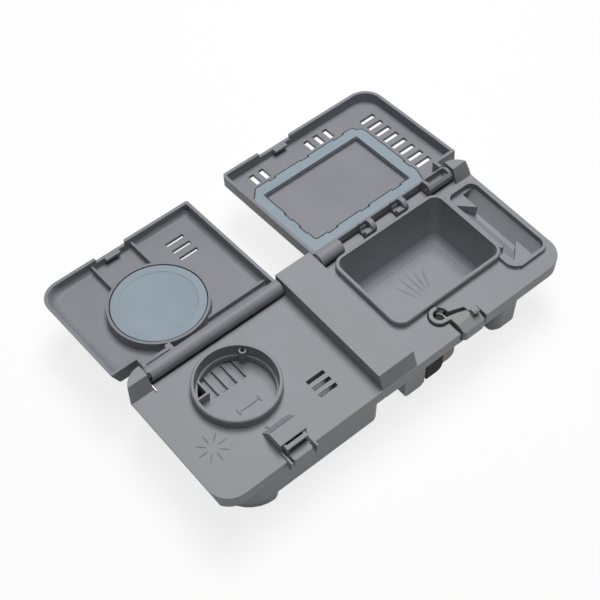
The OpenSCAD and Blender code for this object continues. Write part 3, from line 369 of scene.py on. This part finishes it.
def makeCupRounding(x, y, floor, corner, radius, leanX, leanNear, leanFar):
    # for each corner: the middle of its quarter circle, the angle at which that starts, and how its walls lean
    corners = [((x[0] + corner, y[0] + corner), 180, (-leanX, -leanNear)),
               ((x[1] - corner, y[0] + corner), 270, (leanX, -leanNear)),
               ((x[1] - corner, y[1] - corner), 0, (leanX, leanFar)),
               ((x[0] + corner, y[1] - corner), 90, (-leanX, leanFar))]
    arcs = [quarter(centre, corner, start) for centre, start, lean in corners]
    leans = [np.tile(lean, (len(arc), 1)) for arc, (centre, start, lean) in zip(arcs, corners)]
    grid = carried(np.concatenate(arcs), coveSection(radius), True, np.concatenate(leans), floor)
    addPiece("cup_rounding", onFrontAll(grid), "housing", "housing_plastic", ring=True)


makeCupRounding(**cupCove)

# the rounding inside the rinse lid, along its walls; it stops in the two ribs beside the latch
lidCove = {"x": (6.4, 101.5), "far": 81.2, "leftEnd": 12.3, "rightEnd": 8.0, "floor": -4.1, "leftCorner": 11.0,
           "rightCorner": 3.2, "ribs": (35.6, 62.4), "radius": 3.0, "leftLean": 4.2 / 7.0}


def makeRinseLidRoundings(x, far, leftEnd, rightEnd, floor, leftCorner, rightCorner, ribs, radius, leftLean):
    rightBend = quarter((x[1] - rightCorner, far - rightCorner), rightCorner, 0)
    leftBend = quarter((x[0] + leftCorner, far - leftCorner), leftCorner, 90)
    sides = {"right": ([[[x[1], rightEnd]], rightBend, [[ribs[1], far]]], (0.0, 0.0)),
             "left": ([[[ribs[0], far]], leftBend, [[x[0], leftEnd]]], (-leftLean, 0.0))}
    for side, (way, lean) in sides.items():
        grid = carried(np.concatenate(way), coveSection(radius), False, lean, floor)
        addPiece(f"rinse_lid_rounding_{side}", onLidAll(grid), "rinse_cover", "lid_plastic")


makeRinseLidRoundings(**lidCove)

# the soft rinse seal: a flat disc that fills its holder, a touch lower inside a circle, with a rounded edge.
# stepDown goes from that circle at the top face inwards and down, as (outward, upward).
softDisc = {"centre": (47.6, 34.0), "radius": 26.35, "hole": 0.3, "back": -4.06, "top": 2.05, "edge": 0.45,
            "edgeSteps": 6, "circle": 21.7, "stepDown": ((0.1, 0.0), (0.0, -0.08), (-0.15, -0.29), (-0.3, -0.35)),
            "turns": 96, "seat": -4.1, "pressed": 0.16}


def makeSoftSeal(centre, radius, hole, back, top, edge, edgeSteps, circle, stepDown, turns, seat, pressed):
    a = np.linspace(0, np.pi / 2, edgeSteps)
    rim = np.stack([radius - edge * (1 - np.cos(a)), top - edge * (1 - np.sin(a))], -1)
    step = np.array(stepDown) + [circle, top]
    profile = np.concatenate([[[hole, back], [radius, back]], rim, step, [[hole, step[-1, 1]]]])
    seal = addPiece("soft_rinse_seal", onLidAll(turned(centre, profile, turns)), "rinse_cover", "seal_rubber",
                    replaces="rinse_seal")
    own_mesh(seal)


makeSoftSeal(**softDisc)

# painted shade: dark strips round the detergent seal's outer edge and round its opening, where the groove's
# shadow falls. x and u are their ends on the lid.
# A corner is a row of points from where two ends meet. A notch is where it starts and stops along its edge.
gasketEdge = {"x": (133.6, 219.0), "u": (5.2, 67.2), "nearLeft": ((0, 1.4), (1.4, 0)),
              "nearRight": ((-3, 0), (-0.8, 7), (0, 9)),
              "farRight": ((0, -8), (-1, -4.6), (-3.4, -3.4), (-4.6, -0.8), (-8, 0)),
              "farLeft": ((7, 0), (5.6, -1), (2.4, -4.8), (0, -6.4)),
              "farNotches": ((66, 73), (41, 46), (17, 21)), "rightNotches": ((14.6, 20.0),), "deep": 0.9}
gasketOpening = {"x": (141.2, 210.8), "u": (13.5, 59.0), "nearLeft": ((0, 1), (1, 0)),
                 "nearNotches": ((8.6, 14.6), (32.6, 38.6), (56.6, 62.6)), "nearDeep": 1.0,
                 "leftNotches": ((20.4, 26.4), (7.0, 13.0)), "leftDeep": 0.8}
gasketSeamShade = {"face": -1.1, "inner": 0.02, "width": 0.65, "rise": 0.06, "sunk": 0.3}


def notch(start, end, step):
    # the four corners of a notch beside a straight edge
    start, end, step = np.array(start), np.array(end), np.array(step)
    return [start, start + step, end + step, end]


def cornerPoints(x, u, steps):
    return [(x + dx, u + du) for dx, du in steps]


def gasketOutline(x, u, nearLeft, nearRight, farRight, farLeft, farNotches, rightNotches, deep):
    right = [p for a, b in rightNotches for p in notch((x[1], u[0] + a), (x[1], u[0] + b), (-deep, 0))]
    far = [p for a, b in farNotches for p in notch((x[0] + b, u[1]), (x[0] + a, u[1]), (0, -deep))]
    return np.array([*cornerPoints(x[0], u[0], nearLeft), *cornerPoints(x[1], u[0], nearRight), *right,
                     *cornerPoints(x[1], u[1], farRight), *far, *cornerPoints(x[0], u[1], farLeft)])


def openingOutline(x, u, nearLeft, nearNotches, nearDeep, leftNotches, leftDeep):
    near = [p for a, b in nearNotches for p in notch((x[0] + a, u[0]), (x[0] + b, u[0]), (0, -nearDeep))]
    left = [p for a, b in leftNotches for p in notch((x[0], u[0] + b), (x[0], u[0] + a), (-leftDeep, 0))]
    last, first = cornerPoints(x[0], u[0], nearLeft)
    return np.array([first, *near, (x[1], u[0]), (x[1], u[1]), (x[0], u[1]), *left, last])


def makeGasketSeamShades(face, inner, width, rise, sunk):
    # both painted-shade strips lie on the seal: inwards from its outer edge, and outwards from its opening
    section = np.array([[inner, -sunk], [width, -sunk], [width, rise], [inner, rise]])
    for name, outline, side in (("gasket_outer_seam", gasketOutline(**gasketEdge), 1),
                                ("gasket_inner_seam", openingOutline(**gasketOpening), -1)):
        grid = carried(outline, section * [side, 1], True, 0.0, face)
        addPiece(name, onLidAll(grid), "detergent_cover", "seal_rubber", ring=True, finish="seam_shadow")


makeGasketSeamShades(**gasketSeamShade)

# in each groove of the filler well, a slat that leaves a dark gap along the groove's right side, and the fin
# beside that gap. A section point is the distance from the groove's left side, and the height.
wellBars = {"count": 4, "first": 36.4, "pitch": 6.0, "start": 55.7, "wellCentre": (47.6, 50.0), "wellRadius": 20.7,
            "sections": {
                "well_slat": ((0.02, -7.75), (2.12, -7.75), (2.12, -6.75), (1.87, -6.6), (0.02, -6.5)),
                "well_fin": ((3.16, -6.8), (3.96, -6.8), (3.96, -6.0), (3.76, -5.8), (3.36, -5.8), (3.16, -6.0))}}


def makeWellBars(count, first, pitch, start, wellCentre, wellRadius, sections):
    # each bar runs from start to where its farther side meets the well's round wall
    for k in range(count):
        for name, points in sections.items():
            section = np.array(points) + [first + pitch * k, 0]
            reach = np.abs(section[:, 0] - wellCentre[0]).max()
            end = wellCentre[1] + math.sqrt(wellRadius ** 2 - reach ** 2)
            grid = np.stack([np.insert(section, 1, y, 1) for y in (start, end)])
            addPiece(f"{name}_{k + 1}", onFrontAll(grid), "housing", "housing_plastic")


makeWellBars(**wellBars)

# the capped washer that holds the detergent latch on its stud; its profile is in shares of radius and height
studCap = {"centre": (158.0, 15.5), "radius": 3.35, "foot": -2.4, "top": -0.75, "turns": 48, "sharp": 50,
           "profile": ((0.4, 0.0), (1.0, 0.0), (1.0, 0.22), (0.93, 0.5), (0.76, 0.8), (0.5, 0.96), (0.2, 1.0))}


def makeStudCap(centre, radius, foot, top, turns, sharp, profile):
    form = np.array(profile) * [radius, top - foot] + [0, foot]
    # the cap's dark blackened finish also stands in for the shade inside the latch's slot
    addPiece("latch_stud_cap", onFrontAll(turned(centre, form, turns)), "housing", "blackened_steel", sharp=sharp,
             replaces="latch_clip")


makeStudCap(**studCap)
print("rounded forms, soft seal and cap made")

strokeForm = {"margin": 0.004, "along": 17, "across": 7, "swell": 0.4, "sunk": 0.2, "sharp": 60}


def strokes(name, starts, ends, halfWidth, rise, floor, power):
    # raised strokes. Along each, t from 0 to 1, its half width and height swell by sin(pi t)^0.4; across it,
    # s from -1 to 1, its height is rise * (1 - |s|^power); its flat back is sunk in the floor
    t = np.linspace(strokeForm["margin"], 1 - strokeForm["margin"], strokeForm["along"])[:, None]
    s = np.linspace(-1, 1, strokeForm["across"])[None, :]
    swell = np.sin(np.pi * t) ** strokeForm["swell"]
    for k, (a, b) in enumerate(zip(np.array(starts, float), np.array(ends, float))):
        along = b - a
        side = np.array([-along[1], along[0]]) / np.linalg.norm(along)
        half = halfWidth * swell * s
        top = np.stack([a[0] + along[0] * t + side[0] * half, a[1] + along[1] * t + side[1] * half,
                        floor + rise * swell * (1 - np.abs(s) ** power)], -1)
        back = top[:, ::-1].copy()
        back[..., 2] = floor - strokeForm["sunk"]
        addPiece(f"{name}_{k + 1}", onFrontAll(np.concatenate([top, back], 1)), "housing", "housing_plastic",
                 sharp=strokeForm["sharp"])


# the eight-ray star on the rinse side
starSign = {"rays": 8, "centre": (16.4, 30.1), "inner": 3.1, "outer": 9.0,
            "stroke": {"halfWidth": 0.5, "rise": 0.4, "floor": 0.0, "power": 2}}
angles = 2 * np.pi / starSign["rays"] * np.arange(starSign["rays"])
spokes = np.stack([np.cos(angles), np.sin(angles)], -1)
strokes("star_ray", starSign["centre"] + starSign["inner"] * spokes,
        starSign["centre"] + starSign["outer"] * spokes, **starSign["stroke"])

# the five-ray fan on the cup's floor, with each ray's two ends
fanSign = {"starts": ((166.6, 58.4), (172.6, 60.8), (177.2, 61.6), (182.1, 60.2), (188.0, 59.0)),
           "ends": ((171.9, 44.1), (174.6, 43.7), (177.7, 43.8), (180.1, 45.4), (181.4, 44.3)),
           "stroke": {"halfWidth": 0.5, "rise": 0.35, "floor": -26.0, "power": 2}}
strokes("fan_ray", fanSign["starts"], fanSign["ends"], **fanSign["stroke"])

# the level mark in the filler well: a bar with a short stroke at each end
levelMark = {"left": 41.5, "right": 54.8, "y": 41.0, "reach": 2.2,
             "stroke": {"halfWidth": 0.75, "rise": 0.6, "floor": -6.5, "power": 6}}
left, right, low, high = (levelMark["left"], levelMark["right"], levelMark["y"] - levelMark["reach"],
                          levelMark["y"] + levelMark["reach"])
strokes("level_mark", [(left, levelMark["y"]), (left, low), (right, low)],
        [(right, levelMark["y"]), (left, high), (right, high)], **levelMark["stroke"])
print("signs made")

# stage, light and camera


def seenDirectly(tree):
    # 1 where the camera sees the surface, by itself or in a gloss or through glass
    path = addNode(tree, "ShaderNodeLightPath")
    first = addNode(tree, "ShaderNodeMath", {0: path.outputs["Is Camera Ray"], 1: path.outputs["Is Glossy Ray"]},
                    operation="MAXIMUM")
    both = addNode(tree, "ShaderNodeMath", {0: first.outputs[0], 1: path.outputs["Is Transmission Ray"]},
                   operation="MAXIMUM")
    return both.outputs[0]


# the floor is a pale board; seen directly it is white, less a part of the object's shadow, and farther out,
# where the lamps no longer reach, its own white makes up for them. These lengths are in metres.
floorLook = {"colour": "#f2f2f2", "white": 0.82, "farWhite": 1.0, "shadowShare": 0.22, "near": 0.3, "far": 1.1,
             "halfSize": 6.0, "below": 0.0002}


def makeFloor(colour, white, farWhite, shadowShare, near, far, halfSize, below):
    material, tree = newMaterial("paleFloor")
    board = addNode(tree, "ShaderNodeBsdfDiffuse", in_Color=linear(colour))
    place = addNode(tree, "ShaderNodeTexCoord").outputs["Object"]
    away = addNode(tree, "ShaderNodeVectorMath", {0: place}, operation="LENGTH")
    whiter = addNode(tree, "ShaderNodeMapRange", {"Value": away.outputs["Value"]}, interpolation_type="SMOOTHSTEP",
                     in_From_Min=near, in_From_Max=far, in_To_Min=white, in_To_Max=farWhite)
    glow = addNode(tree, "ShaderNodeEmission", {"Strength": whiter.outputs["Result"]})
    shadowed = addNode(tree, "ShaderNodeBsdfDiffuse", in_Color=(shadowShare, shadowShare, shadowShare, 1.0))
    shown = addNode(tree, "ShaderNodeAddShader", {0: glow.outputs[0], 1: shadowed.outputs[0]})
    closeMaterial(tree, addNode(tree, "ShaderNodeMixShader", {0: seenDirectly(tree), 1: board.outputs[0],
                                                              2: shown.outputs[0]}))
    corners = np.array([[-1, -1, 0], [1, -1, 0], [1, 1, 0], [-1, 1, 0]]) * halfSize
    level = float(cadBox[0][2]) - below
    addMesh("floor", corners + [0, 0, level], [(0, 1, 2, 3)], material)


makeFloor(**floorLook)

# light is what the room adds from all round; white is how bright it is where it is seen
roomLook = {"light": 0.02, "white": 1.0}


def makeRoom(light, white):
    world = bpy.data.worlds.new("softRoom")
    bpy.context.scene.world = world
    world.use_nodes = True
    tree = world.node_tree
    tree.nodes.clear()
    ambient = addNode(tree, "ShaderNodeBackground", in_Color=(1, 1, 1, 1), in_Strength=light)
    backdrop = addNode(tree, "ShaderNodeBackground", in_Color=(1, 1, 1, 1), in_Strength=white)
    mix = addNode(tree, "ShaderNodeMixShader", {0: seenDirectly(tree), 1: ambient.outputs[0],
                                                2: backdrop.outputs[0]})
    addNode(tree, "ShaderNodeOutputWorld", {"Surface": mix.outputs[0]})


makeRoom(**roomLook)

# two round soft boxes that face the object; metres and watts
lamps = {
    "rightBox": {"place": (0.35, 0.38, 1.15), "size": 0.6, "power": 8.4},
    "topBox": {"place": (0.0, 0.0, 1.25), "size": 0.6, "power": 4.8},
}


def softBox(name, place, size, power):
    light = bpy.data.lights.new(name, "AREA")
    light.shape = "DISK"
    light.size = size
    light.energy = power
    lamp = bpy.data.objects.new(name, light)
    bpy.context.scene.collection.objects.link(lamp)
    lamp.rotation_euler = Vector(place).normalized().to_track_quat("Z", "Y").to_euler()
    lamp.location = place


for name, lamp in lamps.items():
    softBox(name, **lamp)

# the camera stands where the photograph's straight edges put it; metres, and the lens in millimetres
cameraFit = {"place": (-0.27958, -0.28977, 0.5992), "lens": 80.17, "sensor": 36, "nearest": 0.01,
             "right": (0.76737, -0.64120, 0.00239), "down": (-0.52364, -0.62883, -0.57478),
             "ahead": (0.37005, 0.43982, -0.81830)}


def makeCamera(place, lens, sensor, nearest, right, down, ahead):
    camera = bpy.data.objects.new("photoCamera", bpy.data.cameras.new("photoCamera"))
    bpy.context.scene.collection.objects.link(camera)
    camera.data.lens = lens
    camera.data.sensor_width = sensor
    camera.data.clip_start = nearest
    # the camera's own axes are right, up and backwards
    turn = Matrix((right, [-v for v in down], [-v for v in ahead])).transposed()
    camera.matrix_world = Matrix.Translation(place) @ turn.to_4x4()
    bpy.context.scene.camera = camera


makeCamera(**cameraFit)
bpy.context.scene.view_settings.view_transform = "Standard"
print("stage, light and camera set")
